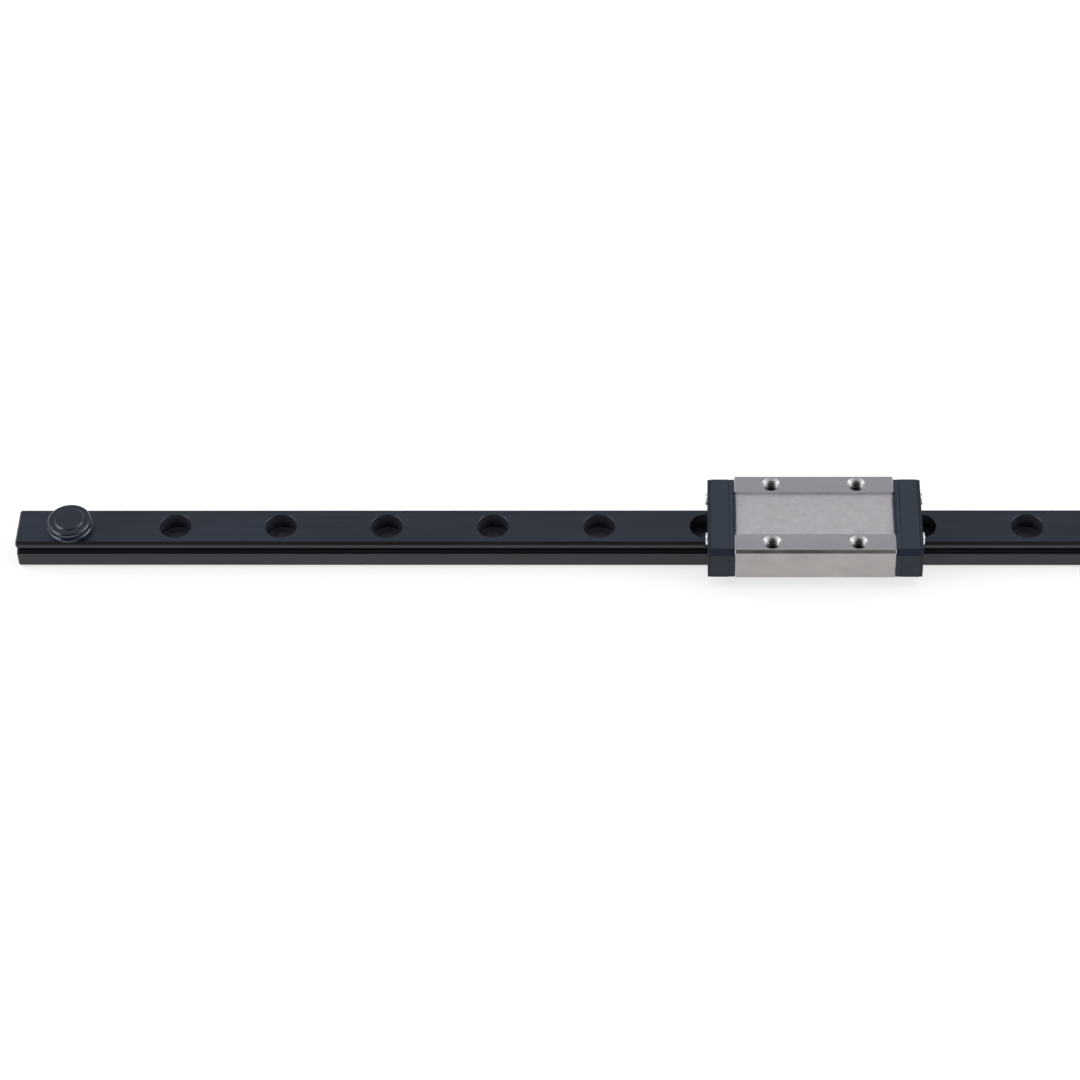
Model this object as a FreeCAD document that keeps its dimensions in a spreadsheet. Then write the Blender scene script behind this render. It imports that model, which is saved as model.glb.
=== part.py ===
"""Size 9 miniature profile rail guide: a ground rail with a ball track along each side, and a long
recirculating-ball carriage parked in the middle of it, between two push-in stoppers.

Millimetres. The rail's underside is Z = 0 and its middle is X = Y = 0. +X runs along the rail, +Y
points away from its front side and +Z points up.
"""
import FreeCAD
import Part
import math
import os
import Sketcher
from itertools import combinations
from types import SimpleNamespace

Vector = FreeCAD.Vector
TINY = 1e-6

SIZES = {
    # Rail: its section, and the counterbored screw holes down its middle
    "rail_length": 300.0,
    "rail_width": 9.0,
    "rail_height": 6.5,
    "rail_top_chamfer": 0.46,
    "rail_foot_chamfer": 0.6,
    "rail_end_break": 0.3,
    "hole_pitch": 20.0,
    "hole_margin": 7.5,
    "screw_bore": 3.5,
    "counterbore": 6.0,
    "counterbore_depth": 3.5,
    # Ball tracks: each is a pointed arch of two arcs that touch the ball at 45 degrees
    "ball_diameter": 1.8,
    "ball_offset": 0.35,
    "ball_gap": 0.06,
    "track_drop": 2.07,
    "track_radius": 0.95,
    "track_play": 0.02,
    "relief_height": 0.7,
    "relief_depth": 0.75,
    # Carriage block
    "carriage_park": 0.27,
    "block_length": 29.9,
    "block_width": 20.0,
    "block_web": 2.95,
    "block_bottom": 2.2,
    "block_top_chamfer": 0.5,
    "block_foot_chamfer": 0.9,
    "land_width": 4.5,
    "channel_depth": 0.6,
    "rail_gap_side": 0.7,
    "rail_gap_top": 0.55,
    "cavity_chamfer": 0.5,
    "return_play": 0.05,
    "tap_drill": 2.5,
    "tap_depth": 3.0,
    "tap_countersink": 3.6,
    "tap_spacing": 16.0,
    "tap_edge": 2.5,
    # End caps: an inner return plate, the cap with the ball turns, and a seal over it
    "plate_thickness": 1.0,
    "cap_thickness": 3.4,
    "seal_thickness": 0.6,
    "cap_side_step": 0.05,
    "cap_top_step": 0.16,
    "cap_foot_step": 0.1,
    "cap_chamfer": 1.0,
    "cap_foot_chamfer": 0.85,
    "cap_gap": 0.3,
    "lip_length": 0.3,
    "lip_play": 0.06,
    "seal_inset": 0.06,
    "seal_gap": 0.15,
    "seal_nib": 0.25,
    # Cap screws
    "cap_screw_spacing": 10.3,
    "cap_screw_drop": 1.55,
    "cap_screw_shank": 1.4,
    "cap_screw_length": 7.0,
    "cap_screw_spare": 0.5,
    "cap_screw_play": 0.05,
    "cap_screw_head": 2.3,
    "cap_screw_head_height": 0.45,
    # Stoppers
    "stopper_play": 0.1,
    "stopper_rest": 0.3,
    "stopper_flange": 8.7,
    "stopper_flange_height": 0.65,
    "stopper_neck": 7.0,
    "stopper_neck_height": 0.4,
    "stopper_disc": 8.3,
    "stopper_disc_height": 0.75,
    "stopper_boss": 5.5,
    "stopper_boss_height": 0.2,
}

doc = FreeCAD.newDocument("rail_guide")
sheet = doc.addObject("Spreadsheet::Sheet", "Sizes")
for row, (alias, number) in enumerate(SIZES.items(), start=1):
    sheet.set(f"A{row}", alias)
    sheet.set(f"B{row}", str(number))
    sheet.setAlias(f"B{row}", alias)
doc.recompute()


class Size:
    """A size with its number, and the formula that gives the number from the sheet."""

    def __init__(self, value, formula):
        self.value = value
        self.formula = formula

    def __add__(self, other):
        other = size(other)
        return Size(self.value + other.value, f"({self.formula} + {other.formula})")

    def __sub__(self, other):
        other = size(other)
        return Size(self.value - other.value, f"({self.formula} - {other.formula})")

    def __mul__(self, other):
        other = size(other)
        return Size(self.value * other.value, f"({self.formula} * {other.formula})")

    def __truediv__(self, other):
        other = size(other)
        return Size(self.value / other.value, f"({self.formula} / {other.formula})")

    def __neg__(self):
        return size(0) - self

    def __rsub__(self, other):
        return size(other) - self

    __radd__ = __add__
    __rmul__ = __mul__


def size(number):
    """A plain number as a Size; a Size stays as it is."""
    return number if isinstance(number, Size) else Size(float(number), str(float(number)))


def root(amount):
    """The square root of a Size."""
    return Size(math.sqrt(amount.value), f"sqrt({amount.formula})")


def leg(long_side, short_side):
    """The third side of a right triangle, from its longest side and one other."""
    return root(long_side * long_side - short_side * short_side)


def whole(amount):
    """A Size rounded down to a whole number."""
    return Size(math.floor(amount.value), f"floor({amount.formula})")


s = SimpleNamespace(**{name: Size(number, f"Sizes.{name}") for name, number in SIZES.items()})


# Places that several pieces share

ENDS = (("left", -1), ("right", 1))
SIDES = (("front", -1), ("back", 1))

rail_half = s.rail_width / 2
track_height = s.rail_height - s.track_drop
cavity_half = rail_half + s.rail_gap_side
cavity_top = s.rail_height + s.rail_gap_top
block_side = s.block_width / 2
block_top = cavity_top + s.block_web
channel_side = block_side - s.land_width
channel_floor = block_top - s.channel_depth
cap_side = block_side - s.cap_side_step
cap_top = block_top - s.cap_top_step
cap_bottom = s.block_bottom + s.cap_foot_step
plate_face = s.block_length / 2
cap_face = plate_face + s.plate_thickness
seal_face = cap_face + s.cap_thickness
head_face = seal_face + s.seal_thickness
cap_screw_y = s.cap_screw_spacing / 2
cap_screw_height = block_top - s.cap_screw_drop

hole_count = whole((s.rail_length - 2 * s.hole_margin) / s.hole_pitch) + 1
first_hole = (1 - hole_count) * s.hole_pitch / 2

# The two arcs of a track are centred this far past the ball's own centre, along each axis
ball_radius = s.ball_diameter / 2
arch_shift = (s.track_radius - ball_radius - s.track_play) / math.sqrt(2)

# The balls carry the load beside the rail, and come back through the middle of what is left of the
# block between their track and its side
load_y = rail_half + s.ball_offset
track_floor = load_y - arch_shift + leg(s.track_radius, arch_shift)
return_y = (track_floor + cap_side) / 2
ball_way = ball_radius + s.return_play


def track_mouth(wall_to_ball):
    """Half the height of a track's mouth in a wall that stands this far from the balls' centres."""
    return leg(s.track_radius, wall_to_ball + arch_shift) - arch_shift


# Sketches and features

def bind(item, path, amount):
    """Tie one property of an object to the sheet."""
    item.setExpression(path, size(amount).formula)


def new_body(label):
    body = doc.addObject("PartDesign::Body", label)
    body.Label = label
    return body


def origin_plane(body, role):
    return next(f for f in body.Origin.OriginFeatures if f.Role == role)


def new_sketch(body, name, role, offset=0):
    """A sketch on one of the body's own origin planes, or parallel to it."""
    sketch = body.newObject("Sketcher::SketchObject", f"{body.Label}_{name}")
    sketch.AttachmentSupport = [(origin_plane(body, role), "")]
    sketch.MapMode = "FlatFace"
    bind(sketch, "AttachmentOffset.Base.z", offset)
    return sketch


def fix_value(sketch, constraint, amount):
    index = sketch.addConstraint(constraint)
    sketch.setExpression(f"Constraints[{index}]", amount.formula)


def fix_point(sketch, geometry, point, x, y):
    """Hold one point of a sketch at its distances from the origin."""
    for kind, axis, amount in (("DistanceX", -2, size(x)), ("DistanceY", -1, size(y))):
        if amount.formula == "0.0":
            sketch.addConstraint(Sketcher.Constraint("PointOnObject", geometry, point, axis))
        else:
            fix_value(sketch, Sketcher.Constraint(kind, -1, 1, geometry, point, amount.value), amount)


def arc_between(start, end, radius, turn):
    """The shorter arc from start to end; turn is 1 where it curves to the left and -1 to the right."""
    chord = end - start
    left = Vector(-chord.y, chord.x, 0).normalize()
    reach = math.sqrt(radius ** 2 - (chord.Length / 2) ** 2)
    centre = (start + end) / 2 + left * reach * turn
    angles = [math.atan2(p.y - centre.y, p.x - centre.x) for p in (start, end)]
    return Part.ArcOfCircle(Part.Circle(centre, Vector(0, 0, 1), radius), *angles[::turn])


def outline(sketch, corners):
    """A closed line through corners. A corner is (x, y), or (x, y, radius, turn) where an arc leads
    to the next one."""
    spots = [Vector(size(c[0]).value, size(c[1]).value, 0) for c in corners]
    ends = []
    for i, corner in enumerate(corners):
        start, end = spots[i], spots[(i + 1) % len(corners)]
        if len(corner) == 2:
            line = sketch.addGeometry(Part.LineSegment(start, end))
            ends.append((line, 1, 2))
        else:
            radius, turn = corner[2:]
            arc = sketch.addGeometry(arc_between(start, end, radius.value, turn))
            ends.append((arc, 1, 2) if turn == 1 else (arc, 2, 1))
            fix_value(sketch, Sketcher.Constraint("Radius", arc, radius.value), radius)
    for i, (piece, start, end) in enumerate(ends):
        fix_point(sketch, piece, start, corners[i][0], corners[i][1])
        ahead, ahead_start = ends[(i + 1) % len(ends)][:2]
        sketch.addConstraint(Sketcher.Constraint("Coincident", piece, end, ahead, ahead_start))


def circle(sketch, x, y, radius):
    centre = Vector(size(x).value, size(y).value, 0)
    geometry = sketch.addGeometry(Part.Circle(centre, Vector(0, 0, 1), radius.value))
    fix_point(sketch, geometry, 3, x, y)
    fix_value(sketch, Sketcher.Constraint("Radius", geometry, radius.value), radius)


def mirrored(corners):
    """A half outline followed by its mirror image across the vertical axis."""
    arcs = [corner[2:] for corner in corners]
    other = []
    for i, corner in enumerate(reversed(corners)):
        bend = arcs[len(corners) - 2 - i] if i < len(corners) - 1 else ()
        other.append((-corner[0], corner[1], *bend))
    return corners + other


def feature(body, kind, sketch, grows, **settings):
    """Add a feature made from a sketch, and make sure that it changed the body's volume."""
    before = body.Shape.Volume if body.Tip else 0.0
    item = body.newObject(f"PartDesign::{kind}", f"{sketch.Label}_{kind.lower()}")
    item.Profile = sketch
    for name, value in settings.items():
        if isinstance(value, Size):
            bind(item, name, value)
        else:
            setattr(item, name, value)
    sketch.Visibility = False
    doc.recompute()
    change = body.Shape.Volume - before
    if (change <= 0) if grows else (change >= 0):
        raise RuntimeError(f"{item.Label} changed nothing")
    return item


def pad(body, sketch, length, **settings):
    return feature(body, "Pad", sketch, True, Length=length, **settings)


def pocket(body, sketch, depth=None, **settings):
    """A pocket to a depth, or right through where none is given."""
    if depth is None:
        return feature(body, "Pocket", sketch, False, Type="ThroughAll", **settings)
    return feature(body, "Pocket", sketch, False, Length=depth, **settings)


def repeat(body, kind, originals, **settings):
    """A pattern or mirror image of earlier features."""
    item = body.newObject(f"PartDesign::{kind}", f"{originals[0].Label}_{kind.lower()}")
    item.Originals = originals
    for name, value in settings.items():
        if isinstance(value, Size):
            bind(item, name, value)
        else:
            setattr(item, name, value)
    body.Tip = item
    doc.recompute()
    return item


def place(item, x, y, z, half_turn=False):
    """Put a piece at its seat, turned end for end where it belongs to the left end."""
    if half_turn:
        item.Placement = FreeCAD.Placement(Vector(0, 0, 0), FreeCAD.Rotation(Vector(0, 0, 1), 180))
    for axis, amount in (("x", x), ("y", y), ("z", z)):
        bind(item, f"Placement.Base.{axis}", amount)


# Rail

def rail_track():
    """The corners of the rail's track and its wire relief, from the top mouth to the bottom one."""
    mouth = track_mouth(s.ball_offset)
    relief = s.relief_height / 2
    relief_edge = load_y + arch_shift - leg(s.track_radius, relief + arch_shift)
    relief_floor = rail_half - s.relief_depth
    return [
        (rail_half, track_height + mouth, s.track_radius, 1),
        (relief_edge, track_height + relief),
        (relief_floor, track_height + relief),
        (relief_floor, track_height - relief),
        (relief_edge, track_height - relief, s.track_radius, 1),
        (rail_half, track_height - mouth),
    ]


def make_rail():
    body = new_body("rail")
    section = new_sketch(body, "section", "YZ_Plane")
    half = [
        (rail_half - s.rail_top_chamfer, s.rail_height),
        (rail_half, s.rail_height - s.rail_top_chamfer),
        *rail_track(),
        (rail_half, s.rail_foot_chamfer),
        (rail_half - s.rail_foot_chamfer, 0),
    ]
    outline(section, mirrored(half))
    bar = pad(body, section, s.rail_length, SideType="Symmetric")

    break_ends(body, bar)

    head = new_sketch(body, "counterbore", "XY_Plane", s.rail_height)
    circle(head, first_hole, 0, s.counterbore / 2)
    counterbore = pocket(body, head, s.counterbore_depth)
    shank = new_sketch(body, "bore", "XY_Plane", s.rail_height)
    circle(shank, first_hole, 0, s.screw_bore / 2)
    bore = pocket(body, shank)
    repeat(body, "LinearPattern", [counterbore, bore], Direction=(head, ["H_Axis"]),
           Mode="Spacing", Offset=s.hole_pitch, Occurrences=hole_count)


def break_ends(body, bar):
    """A small chamfer round the rail's two sawn ends."""
    ends = [f"Face{i}" for i, face in enumerate(bar.Shape.Faces, start=1)
            if abs(abs(face.CenterOfMass.x) - s.rail_length.value / 2) < TINY]
    chamfer = body.newObject("PartDesign::Chamfer", "rail_end_chamfer")
    chamfer.Base = (bar, ends)
    bind(chamfer, "Size", s.rail_end_break)
    doc.recompute()


# Carriage block

def make_block():
    body = new_body("carriage_block")
    mouth = track_mouth(cavity_half - load_y)
    half = [
        (channel_side, channel_floor),
        (channel_side, block_top),
        (block_side - s.block_top_chamfer, block_top),
        (block_side, block_top - s.block_top_chamfer),
        (block_side, s.block_bottom + s.block_foot_chamfer),
        (block_side - s.block_foot_chamfer, s.block_bottom),
        (cavity_half, s.block_bottom),
        (cavity_half, track_height - mouth, s.track_radius, 1),
        (track_floor, track_height, s.track_radius, 1),
        (cavity_half, track_height + mouth),
        (cavity_half, cavity_top - s.cavity_chamfer),
        (cavity_half - s.cavity_chamfer, cavity_top),
    ]
    section = new_sketch(body, "section", "YZ_Plane")
    outline(section, mirrored(half))
    pad(body, section, s.block_length, SideType="Symmetric")

    returns = new_sketch(body, "returns", "YZ_Plane")
    for side in (-1, 1):
        circle(returns, return_y * side, track_height, ball_way)
    pocket(body, returns, SideType="Symmetric")

    threads = new_sketch(body, "end_threads", "YZ_Plane", plate_face)
    screw_circles(threads)
    reach = s.cap_screw_length - (head_face - plate_face)
    thread_holes = pocket(body, threads, reach + s.cap_screw_spare)
    repeat(body, "Mirrored", [thread_holes], MirrorPlane=(origin_plane(body, "YZ_Plane"), [""]))

    taps = new_sketch(body, "taps", "XY_Plane", block_top)
    for x in (-1, 1):
        for y in (-1, 1):
            circle(taps, s.tap_spacing * x / 2, (block_side - s.tap_edge) * y, s.tap_drill / 2)
    feature(body, "Hole", taps, False, DepthType="Dimension", Depth=s.tap_depth,
            Diameter=s.tap_drill, DrillPoint="Flat", HoleCutType="Countersink",
            HoleCutCustomValues=True, HoleCutDiameter=s.tap_countersink,
            HoleCutCountersinkAngle=90)
    place(body, s.carriage_park, 0, 0)


# End caps

def cap_half_outline(inset, gap):
    """Half the section of the end pieces: an arch over the rail with chamfered shoulders."""
    side = cap_side - inset
    top = cap_top - inset
    return [
        (side - s.cap_chamfer, top),
        (side, top - s.cap_chamfer),
        (side, cap_bottom + s.cap_foot_chamfer),
        (side - s.cap_foot_chamfer, cap_bottom),
        (rail_half + gap, cap_bottom),
        (rail_half + gap, s.rail_height + gap - s.rail_top_chamfer),
        (rail_half + gap - s.rail_top_chamfer, s.rail_height + gap),
    ]


def screw_circles(sketch):
    """The outlines of the two cap screws' shanks, with their play."""
    for side in (-1, 1):
        circle(sketch, cap_screw_y * side, cap_screw_height, s.cap_screw_shank / 2 + s.cap_screw_play)


def cut_screw_ways(body, face):
    """Clearance holes for the two cap screws, through a piece that starts at this face."""
    ways = new_sketch(body, "screw_ways", "YZ_Plane", face)
    screw_circles(ways)
    pocket(body, ways, Reversed=True)


def make_return_plate(label, half_turn):
    """The balls leave their track through a notch beside the rail, and come back through a bore.
    A lip reaches over the block's channel."""
    body = new_body(label)
    arch = cap_half_outline(0, s.cap_gap)
    notch = [
        (rail_half + s.cap_gap, track_height - ball_way),
        (track_floor, track_height - ball_way),
        (track_floor, track_height + ball_way),
        (rail_half + s.cap_gap, track_height + ball_way),
    ]
    section = new_sketch(body, "section", "YZ_Plane", plate_face)
    outline(section, mirrored(arch[:5] + notch + arch[5:]))
    pad(body, section, s.plate_thickness)

    lip = new_sketch(body, "lip", "YZ_Plane", plate_face)
    lip_side = channel_side - s.lip_play
    outline(lip, mirrored([(lip_side, cap_top), (lip_side, channel_floor + s.lip_play)]))
    pad(body, lip, s.lip_length, Reversed=True)

    ball_ways = new_sketch(body, "ball_ways", "YZ_Plane", plate_face)
    for side in (-1, 1):
        circle(ball_ways, return_y * side, track_height, ball_way)
    pocket(body, ball_ways, Reversed=True)
    cut_screw_ways(body, plate_face)
    place(body, s.carriage_park, 0, 0, half_turn)


def make_end_cap(label, half_turn):
    """The cap's inner face holds a half ring each side, in which the balls turn round."""
    body = new_body(label)
    section = new_sketch(body, "section", "YZ_Plane", cap_face)
    outline(section, mirrored(cap_half_outline(0, s.cap_gap)))
    pad(body, section, s.cap_thickness)

    turns = new_sketch(body, "ball_turns", "XY_Plane", track_height)
    middle_y = (load_y + return_y) / 2
    for side in (-1, 1):
        for reach in (-ball_way, ball_way):
            circle(turns, cap_face, middle_y * side, return_y - middle_y + reach)
    pocket(body, turns, 2 * ball_way, SideType="Symmetric")
    cut_screw_ways(body, cap_face)
    place(body, s.carriage_park, 0, 0, half_turn)


def make_end_seal(label, half_turn):
    """The seal follows the rail's section all round, with a nib that wipes each track."""
    body = new_body(label)
    arch = cap_half_outline(s.seal_inset, s.seal_gap)
    nib_base = track_mouth(s.ball_offset) - s.seal_gap
    nib_top = nib_base - (s.seal_nib + s.seal_gap)
    nib = [
        (rail_half + s.seal_gap, track_height - nib_base),
        (rail_half - s.seal_nib, track_height - nib_top),
        (rail_half - s.seal_nib, track_height + nib_top),
        (rail_half + s.seal_gap, track_height + nib_base),
    ]
    section = new_sketch(body, "section", "YZ_Plane", seal_face)
    outline(section, mirrored(arch[:5] + nib + arch[5:]))
    pad(body, section, s.seal_thickness)
    cut_screw_ways(body, seal_face)
    place(body, s.carriage_park, 0, 0, half_turn)


def make_cap_screw(label, end, side):
    """A small screw, turned about its own axis and seated on the seal."""
    body = new_body(label)
    profile = new_sketch(body, "profile", "XZ_Plane")
    head = s.cap_screw_head / 2
    shank = s.cap_screw_shank / 2
    outline(profile, [
        (-s.cap_screw_length, 0),
        (-s.cap_screw_length, shank),
        (0, shank),
        (0, head),
        (s.cap_screw_head_height, head),
        (s.cap_screw_head_height, 0),
    ])
    feature(body, "Revolution", profile, True, ReferenceAxis=(profile, ["H_Axis"]), Angle=360.0)
    place(body, s.carriage_park + head_face * end, cap_screw_y * side, cap_screw_height, end == -1)


# Balls

def make_ball(radius):
    """A ball of few faces: an icosahedron, whose twelve corners lie on the real ball."""
    golden = (1 + math.sqrt(5)) / 2
    scale = radius / math.hypot(1, golden)
    corners = [Vector(*spot) * scale for one in (-1, 1) for long in (-golden, golden)
               for spot in ((0, one, long), (one, long, 0), (long, 0, one))]
    edge = 2 * scale
    faces = []
    for three in combinations(corners, 3):
        if all(abs(p.distanceToPoint(q) - edge) < TINY for p, q in combinations(three, 2)):
            faces.append(Part.Face(Part.makePolygon([*three, three[0]])))
    shell = Part.makeShell(faces)
    shell.sewShape()
    ball = Part.makeSolid(shell)
    return ball if ball.Volume > 0 else ball.reversed()


def make_ball_row(label, side):
    """The balls that carry the load on one side, between the block's track and the rail's."""
    pitch = s.ball_diameter + s.ball_gap
    count = whole(s.block_length / pitch)
    ball = make_ball(ball_radius.value)
    balls = []
    for i in range(int(count.value)):
        balls.append(ball.translated(Vector(pitch.value * (i - (count.value - 1) / 2), 0, 0)))
    row = doc.addObject("Part::Feature", label)
    row.Label = label
    row.Shape = Part.makeCompound(balls)
    place(row, s.carriage_park, load_y * side, track_height)


# Stoppers

def make_stopper(label, end):
    """A turned rubber stopper pushed into an end hole of the rail."""
    body = new_body(label)
    stem = s.counterbore / 2 - s.stopper_play
    stem_end = s.stopper_rest - s.counterbore_depth
    flange_top = s.stopper_flange_height
    neck_top = flange_top + s.stopper_neck_height
    disc_top = neck_top + s.stopper_disc_height
    boss_top = disc_top + s.stopper_boss_height
    profile = new_sketch(body, "profile", "XZ_Plane")
    outline(profile, [
        (0, stem_end),
        (stem, stem_end),
        (stem, 0),
        (s.stopper_flange / 2, 0),
        (s.stopper_flange / 2, flange_top),
        (s.stopper_neck / 2, flange_top),
        (s.stopper_neck / 2, neck_top),
        (s.stopper_disc / 2, neck_top),
        (s.stopper_disc / 2, disc_top),
        (s.stopper_boss / 2, disc_top),
        (s.stopper_boss / 2, boss_top),
        (0, boss_top),
    ])
    feature(body, "Revolution", profile, True, ReferenceAxis=(profile, ["V_Axis"]), Angle=360.0)
    place(body, -first_hole * end, 0, s.rail_height)


# The whole guide

make_rail()
make_block()
for end_name, end in ENDS:
    make_return_plate(f"return_plate_{end_name}", end == -1)
    make_end_cap(f"end_cap_{end_name}", end == -1)
    make_end_seal(f"end_seal_{end_name}", end == -1)
    make_stopper(f"stopper_{end_name}", end)
    for side_name, side in SIDES:
        make_cap_screw(f"cap_screw_{end_name}_{side_name}", end, side)
for side_name, side in SIDES:
    make_ball_row(f"ball_row_{side_name}", side)
doc.recompute()

faults = [item.Name for item in doc.Objects if {"Invalid", "Error"} & set(item.State)]
if faults:
    raise RuntimeError(f"these objects failed: {faults}")
nodes = [item for item in doc.Objects if item.TypeId in ("PartDesign::Body", "Part::Feature")]
for node in nodes:
    if node.Shape.isNull() or not node.Shape.isValid():
        raise RuntimeError(f"{node.Label} has no valid shape")

os.makedirs("parts", exist_ok=True)
for node in nodes:
    node.Shape.exportStep(f"parts/{node.Label}.step")
    box = node.Shape.BoundBox
    spans = [f"{low:.2f}..{high:.2f}" for low, high in
             ((box.XMin, box.XMax), (box.YMin, box.YMax), (box.ZMin, box.ZMax))]
    print(f"{node.Label}: {len(node.Shape.Solids)} solids, {node.Shape.Volume:.2f} mm3, {spans}")
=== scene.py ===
"""The looks of a size 9 miniature rail guide: the blacked rail, the ground steel carriage block
with its moulded caps, wiper seals, screws and bearing balls, and the two push-in stoppers.

Each surface is a grid of points worked out with numpy, in metres and in the part's own frame: X
runs along the rail, Y across it and Z up from its underside.
"""
import math

import bmesh
import bpy
import numpy as np
from mathutils import Matrix, Vector


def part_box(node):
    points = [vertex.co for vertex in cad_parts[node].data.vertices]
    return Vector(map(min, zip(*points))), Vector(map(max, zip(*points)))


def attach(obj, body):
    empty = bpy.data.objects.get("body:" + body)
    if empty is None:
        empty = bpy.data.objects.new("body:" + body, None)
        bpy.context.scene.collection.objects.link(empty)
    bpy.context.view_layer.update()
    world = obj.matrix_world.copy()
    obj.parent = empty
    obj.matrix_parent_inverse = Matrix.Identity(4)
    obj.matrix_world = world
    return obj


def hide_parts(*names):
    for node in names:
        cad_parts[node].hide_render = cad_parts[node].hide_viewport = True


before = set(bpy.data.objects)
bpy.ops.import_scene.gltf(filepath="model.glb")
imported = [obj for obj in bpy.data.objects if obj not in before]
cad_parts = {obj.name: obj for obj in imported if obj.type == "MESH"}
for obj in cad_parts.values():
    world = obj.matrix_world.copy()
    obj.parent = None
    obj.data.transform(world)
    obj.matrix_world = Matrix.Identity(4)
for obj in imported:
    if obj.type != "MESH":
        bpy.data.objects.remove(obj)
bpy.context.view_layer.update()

MM = 0.001
ENDS = (("left", -1), ("right", 1))
SIDES = ("front", "back")

# Points this close are one point, edges past this angle in degrees are sharp, and a noise mostly
# stays in this range
WELD_DISTANCE = 0.0005 * MM
SAME_POINT = 0.001 * MM
SHARP_ANGLE = 30
NOISE_LOW, NOISE_HIGH = 0.3, 0.7

# The numbers of the finishes on the rail and on the block
TOP, SIDE, TRACK, BORE = range(4)
LAND, CHANNEL, OUTSIDE, TAP = range(4)

# Rail: its outer sizes come from the frame
RAIL_LOW, RAIL_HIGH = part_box("rail")
HOLE_PITCH = 20 * MM
BORE_RADIUS = 1.75 * MM
COUNTERBORE_RADIUS = 3 * MM
COUNTERBORE_DEPTH = 3.5 * MM
HOLE_EDGE = 0.06 * MM
COUNTERBORE_FILLET = 0.25 * MM
RAIL_TOP_CHAMFER = 0.46 * MM
RAIL_FOOT_CHAMFER = 0.6 * MM
RAIL_END_BREAK = 0.3 * MM

# Ball tracks: pointed arches of two arcs, round the line of the balls' centres
BALL_RADIUS = 0.9 * MM
BALL_COUNT = 16
BALL_PITCH = 1.86 * MM
TRACK_RADIUS = 0.95 * MM
TRACK_SHIFT = 0.0212 * MM
TRACK_HEIGHT = 4.43 * MM
LOAD_Y = RAIL_HIGH.y + 0.35 * MM
RELIEF_HALF = 0.35 * MM
RELIEF_DEPTH = 0.75 * MM

# Carriage block
BLOCK_LOW, BLOCK_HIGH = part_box("carriage_block")
BLOCK_TOP_CHAMFER = 0.5 * MM
BLOCK_FOOT_CHAMFER = 0.9 * MM
BLOCK_END_BREAK = 0.2 * MM
CAVITY_Y = RAIL_HIGH.y + 0.7 * MM
CAVITY_TOP = RAIL_HIGH.z + 0.55 * MM
CAVITY_CHAMFER = 0.5 * MM
LAND_WIDTH = 4.5 * MM
CHANNEL_DEPTH = 0.6 * MM
CHANNEL_Y = BLOCK_HIGH.y - LAND_WIDTH
CHANNEL_FLOOR = BLOCK_HIGH.z - CHANNEL_DEPTH

# Tapped holes: a countersink whose radius shrinks by SINK_SLOPE times its depth, then the thread's
# ridges. The thread's flats are shares of its pitch, and it starts at a share of a turn.
TAP_EDGE = 2.5 * MM
TAP_SPACING = 16 * MM
TAP_DEPTH = 2.9 * MM
SINK_RADIUS = 1.8 * MM
SINK_SLOPE = 1.6
THREAD_OUTER = 1.5 * MM
THREAD_INNER = 1.27 * MM
THREAD_PITCH = 0.5 * MM
THREAD_INNER_FLAT = 0.25
THREAD_OUTER_FLAT = 0.125
THREAD_START = 0.55

# Moulded end pieces. The rims are the rounds of the two faces, the one nearer the block first.
CAP_SHOULDER = 1.0 * MM
CAP_FOOT = 0.85 * MM
CAP_GAP = 0.3 * MM
PLATE_STEP = 0.03 * MM
SEAL_GAP = 0.15 * MM
SEAL_NIB = 0.25 * MM
SHOULDER_ROUND = 0.3 * MM
ARCH_ROUND = 0.2 * MM
NIB_ROUND = 0.12 * MM
PLATE_RIMS = (0.1 * MM, 0.09 * MM)
CAP_RIMS = (0.13 * MM, 0.05 * MM)
SEAL_RIMS = (0.03 * MM, 0.1 * MM)
LIP_LENGTH = 0.3 * MM
LIP_PLAY = 0.06 * MM
LIP_CORNER = 1.3 * MM
LIP_BREAK = 0.04 * MM
LIP_ROOT = 0.2 * MM

# Cap screws: a dome takes the middle share of the head, and the rim falls away round it
SCREW_HEAD_RADIUS = 1.15 * MM
SCREW_HEAD_HEIGHT = 0.45 * MM
SCREW_SHANK_RADIUS = 0.7 * MM
DOME_SHARE = 0.8
DOME_DROP = 0.06 * MM
RIM_DROP = 0.24 * MM

# How finely the round shapes are divided
ACROSS = 12
ALONG = 36
ARC_STEPS = 10
ROUND_STEPS = 5
THREAD_STEPS = 12
DOME_STEPS = 24
SCREW_SEGMENTS = 64
BALL_STEPS = 16
BALL_SEGMENTS = 32
KNOB_SEGMENTS = 128


# Shapes

def ring(rows):
    """Rows of points that close on themselves: the first column is repeated after the last."""
    return np.concatenate([rows, rows[:, :1]], axis=1)


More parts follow.
